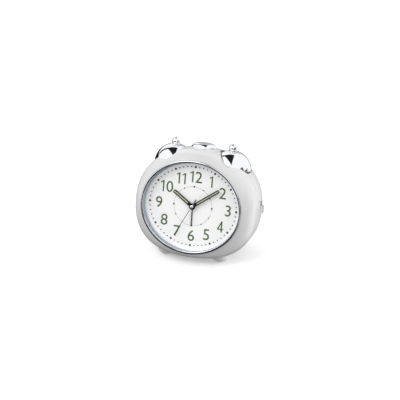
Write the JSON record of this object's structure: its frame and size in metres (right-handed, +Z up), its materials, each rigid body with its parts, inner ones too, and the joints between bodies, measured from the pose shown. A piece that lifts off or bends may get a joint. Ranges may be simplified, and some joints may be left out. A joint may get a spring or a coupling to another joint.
{
  "type": "analog alarm clock",
  "caption": "Oval analog alarm clock with a white dial, black hands, a chromed bell on each shoulder, a snooze button between them, an alarm slide at the side and stub feet.",
  "frame": {"origin": "middle of the bounding box at the table, under the feet", "axes": "+X to the right seen from the front, +Y from the dial towards the back, +Z up"},
  "size_m": [0.129, 0.0898, 0.1124],
  "materials": {
    "case_plastic": "glossy white moulded plastic",
    "chrome": "bright chromed",
    "bell_chrome": "bright chromed steel",
    "button_chrome": "bright chromed plastic",
    "lens_clear": "clear polished",
    "flange_silver": "silvery satin",
    "dial_white": "white, printed",
    "hand_black": "black",
    "hand_glow": "pale green luminous",
    "hand_silver": "satin silver",
    "brass": "turned brass",
    "steel": "plain steel",
    "iron": "soft iron",
    "magnet": "dark magnet and white pinion",
    "copper": "enamelled copper winding",
    "movement_plastic": "natural white plastic",
    "gear_plastic": "natural white plastic",
    "board_green": "circuit board",
    "knob_plastic": "grey moulded plastic",
    "switch_chrome": "bright chromed plastic",
    "switch_plastic": "black plastic",
    "cell_wrap": "plain grey wrap",
    "pad_rubber": "pale rubber"
  },
  "bodies": {
    "root": {"alarm_contact": "brass", "battery_contacts": "steel", "battery_lower": "cell_wrap", "battery_springs": "steel", "battery_upper": "cell_wrap", "bell_knob_left": "chrome", "bell_knob_right": "chrome", "bell_left": "bell_chrome", "bell_post_left": "steel", "bell_post_right": "steel", "bell_right": "bell_chrome", "bezel_ring": "chrome", "case_screws": "steel", "circuit_board": "board_green", "dial": "dial_white", "dial_flange": "flange_silver", "drive_coil": "copper", "foot_pads": "pad_rubber", "front_shell": "case_plastic", "lens": "lens_clear", "middle_plate": "movement_plastic", "movement_base": "movement_plastic", "movement_cover": "movement_plastic", "movement_screws": "steel", "rear_cover": "case_plastic", "snooze_switch": "switch_plastic", "stator": "iron", "striker_coil": "copper", "striker_core": "iron", "striker_frame": "steel", "striker_pin": "steel", "switch_body": "switch_plastic"},
    "time_set": {"time_set_pinion": "gear_plastic", "time_set_knob": "knob_plastic"},
    "minute": {"cannon_pinion": "brass", "minute_hand": "hand_black", "minute_hand_strip": "hand_glow"},
    "hour": {"hour_wheel": "gear_plastic", "hour_hand": "hand_black", "hour_hand_strip": "hand_glow"},
    "minute_wheel": {"minute_wheel": "gear_plastic"},
    "second": {"second_wheel": "brass", "second_hand": "hand_silver"},
    "third": {"third_wheel": "gear_plastic"},
    "centre": {"centre_wheel": "brass"},
    "intermediate": {"intermediate_wheel": "gear_plastic"},
    "rotor": {"rotor": "magnet"},
    "alarm_set": {"alarm_set_pinion": "gear_plastic", "alarm_set_knob": "knob_plastic"},
    "alarm": {"alarm_wheel": "gear_plastic", "alarm_hand": "hand_black"},
    "snooze": {"snooze_button": "button_chrome", "snooze_plunger": "switch_plastic"},
    "alarm_switch": {"switch_knob": "switch_chrome", "switch_slider": "switch_plastic"},
    "striker": {"striker_arm": "steel", "striker_head": "brass"},
    "battery_door": {"battery_door": "case_plastic"}
  },
  "joints": [
    {"name": "time_set_turn", "type": "hinge", "parent": "root", "child": "time_set", "pos_m": [-0.01409, -0.02073, 0.07034], "axis": [0, 0.9686, -0.2487], "continuous": true},
    {"name": "minute_turn", "type": "hinge", "parent": "root", "child": "minute", "pos_m": [-0.00123, -0.02422, 0.05674], "axis": [0, 0.9686, -0.2487], "continuous": true},
    {"name": "hour_turn", "type": "hinge", "parent": "root", "child": "hour", "pos_m": [-0.00123, -0.02422, 0.05674], "axis": [0, 0.9686, -0.2487], "continuous": true},
    {"name": "minute_wheel_turn", "type": "hinge", "parent": "root", "child": "minute_wheel", "pos_m": [-0.01305, -0.0237, 0.05876], "axis": [0, 0.9686, -0.2487], "continuous": true},
    {"name": "second_turn", "type": "hinge", "parent": "root", "child": "second", "pos_m": [-0.00123, -0.02422, 0.05674], "axis": [0, 0.9686, -0.2487], "continuous": true},
    {"name": "third_turn", "type": "hinge", "parent": "root", "child": "third", "pos_m": [0.00148, -0.02607, 0.04953], "axis": [0, 0.9686, -0.2487], "continuous": true},
    {"name": "centre_turn", "type": "hinge", "parent": "root", "child": "centre", "pos_m": [-0.00123, -0.02422, 0.05674], "axis": [0, 0.9686, -0.2487], "continuous": true},
    {"name": "intermediate_turn", "type": "hinge", "parent": "root", "child": "intermediate", "pos_m": [-0.00903, -0.02456, 0.05541], "axis": [0, 0.9686, -0.2487], "continuous": true},
    {"name": "rotor_turn", "type": "hinge", "parent": "root", "child": "rotor", "pos_m": [-0.01253, -0.02607, 0.04954], "axis": [0, 0.9686, -0.2487], "continuous": true},
    {"name": "alarm_set_turn", "type": "hinge", "parent": "root", "child": "alarm_set", "pos_m": [0.00918, -0.02114, 0.06876], "axis": [0, 0.9686, -0.2487], "continuous": true},
    {"name": "alarm_turn", "type": "hinge", "parent": "root", "child": "alarm", "pos_m": [-0.00123, -0.02422, 0.05674], "axis": [0, 0.9686, -0.2487], "continuous": true},
    {"name": "snooze_press", "type": "slide", "parent": "root", "child": "snooze", "axis": [0, -0.2487, -0.9686], "range_m": [0, 0.0015], "stiffness_N_per_m": 1200, "springref_m": -0.0004},
    {"name": "alarm_switch_slide", "type": "slide", "parent": "root", "child": "alarm_switch", "axis": [0, 0.2487, 0.9686], "range_m": [0, 0.004]},
    {"name": "striker_swing", "type": "hinge", "parent": "root", "child": "striker", "pos_m": [-0.00123, 0.00671, 0.07667], "axis": [0, 0.9686, -0.2487], "range_deg": [-5, 5], "stiffness_Nm_per_rad": 0.002},
    {"name": "battery_door_pull", "type": "slide", "parent": "root", "child": "battery_door", "axis": [0, 0.9686, -0.2487], "range_m": [0, 0.025]}
  ],
  "couplings": [
    {"joint": "minute_turn", "follows": "time_set_turn", "ratio": 1},
    {"joint": "minute_wheel_turn", "follows": "time_set_turn", "ratio": -0.33333},
    {"joint": "hour_turn", "follows": "time_set_turn", "ratio": 0.083333},
    {"joint": "third_turn", "follows": "second_turn", "ratio": -0.13333},
    {"joint": "centre_turn", "follows": "second_turn", "ratio": 0.016667},
    {"joint": "intermediate_turn", "follows": "second_turn", "ratio": -5},
    {"joint": "rotor_turn", "follows": "second_turn", "ratio": 30},
    {"joint": "alarm_turn", "follows": "alarm_set_turn", "ratio": -0.35}
  ]
}
